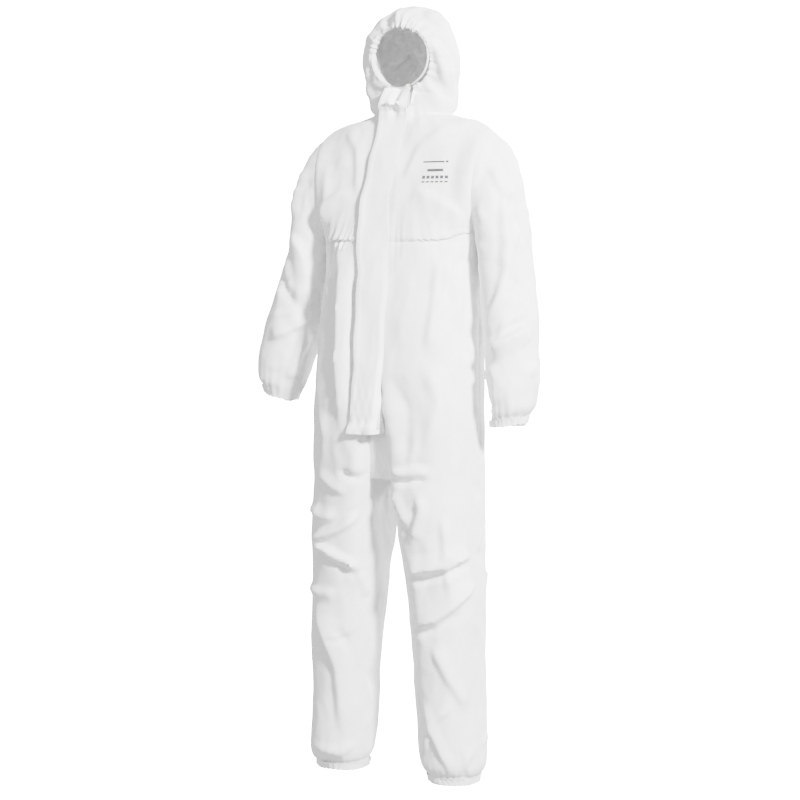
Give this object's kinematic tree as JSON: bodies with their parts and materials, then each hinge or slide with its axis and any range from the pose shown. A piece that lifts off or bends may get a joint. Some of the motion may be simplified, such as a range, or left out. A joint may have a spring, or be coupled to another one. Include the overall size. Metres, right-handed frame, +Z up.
{
  "type": "chemical protective suit",
  "caption": "Hooded one-piece disposable coverall of white nonwoven cloth, with a front zip under a storm flap and elastic at face, waist, wrists and ankles.",
  "frame": {"origin": "on the floor under the suit, midway between the ankle hems, at the centre of its outline", "axes": "+Z up along the body, -Y to the front (the zip side), +X to the wearer's left"},
  "size_m": [0.705, 0.2936, 1.743],
  "materials": {
    "cloth": "matt white spunbond nonwoven",
    "flap_cloth": "matt white spunbond nonwoven, two plies",
    "elastic": "white knitted elastic",
    "zip_tape": "white woven polyester tape",
    "zip_coil": "white nylon",
    "zip_metal": "white lacquered die cast",
    "adhesive": "translucent transfer adhesive",
    "liner_paper": "cream siliconised paper",
    "label": "white woven label, blank"
  },
  "bodies": {
    "torso": {"left_front_bodice": "cloth", "right_front_bodice": "cloth", "back_bodice": "cloth", "left_front_trouser": "cloth", "right_front_trouser": "cloth", "left_seat": "cloth", "right_seat": "cloth", "crotch_gusset": "cloth", "left_chin_panel": "cloth", "right_chin_panel": "cloth", "left_zip_tape": "zip_tape", "right_zip_tape": "zip_tape", "left_zip_coil": "zip_coil", "right_zip_coil": "zip_coil", "zip_top_stops": "zip_coil", "zip_bottom_stop": "zip_coil", "waist_elastic": "elastic", "neck_label": "label"},
    "storm_flap": {"storm_flap": "flap_cloth", "chin_adhesive": "adhesive", "release_liner": "liner_paper"},
    "zip_slider": {"zip_slider": "zip_metal"},
    "zip_pull": {"zip_pull": "zip_metal"},
    "hood": {"hood_front": "cloth", "hood_back": "cloth", "face_elastic": "elastic"},
    "left_sleeve": {"left_sleeve": "cloth", "left_wrist_elastic": "elastic"},
    "right_sleeve": {"right_sleeve": "cloth", "right_wrist_elastic": "elastic"},
    "left_leg": {"left_leg_front": "cloth", "left_leg_back": "cloth", "left_ankle_elastic": "elastic"},
    "right_leg": {"right_leg_front": "cloth", "right_leg_back": "cloth", "right_ankle_elastic": "elastic"}
  },
  "joints": [
    {"name": "hood_tilt", "type": "hinge", "parent": "torso", "child": "hood", "pos_m": [0, 0.132, 1.5], "axis": [-1, 0, 0], "range_deg": [0, 40]},
    {"name": "left_sleeve_raise", "type": "hinge", "parent": "torso", "child": "left_sleeve", "pos_m": [0.212, 0.036, 1.457], "axis": [0, -1, 0], "range_deg": [0, 70]},
    {"name": "right_sleeve_raise", "type": "hinge", "parent": "torso", "child": "right_sleeve", "pos_m": [-0.212, 0.036, 1.457], "axis": [0, 1, 0], "range_deg": [0, 70]},
    {"name": "left_leg_swing", "type": "hinge", "parent": "torso", "child": "left_leg", "pos_m": [0.1, -0.015, 0.705], "axis": [-1, 0, 0], "range_deg": [-25, 45]},
    {"name": "right_leg_swing", "type": "hinge", "parent": "torso", "child": "right_leg", "pos_m": [-0.1, -0.015, 0.705], "axis": [-1, 0, 0], "range_deg": [-25, 45]},
    {"name": "storm_flap_open", "type": "hinge", "parent": "torso", "child": "storm_flap", "pos_m": [0.0175, -0.1156, 1.18203], "axis": [0, 0.1861, 0.9825], "range_deg": [0, 100]},
    {"name": "zip_slider_travel", "type": "hinge", "parent": "torso", "child": "zip_slider", "pos_m": [0, 1.8595, 0.808], "axis": [1, 0, 0], "range_deg": [0, 21.54]},
    {"name": "zip_pull_flip", "type": "hinge", "parent": "zip_slider", "child": "zip_pull", "pos_m": [0, -0.00088, 1.54366], "axis": [-1, 0, 0], "range_deg": [0, 11]}
  ]
}
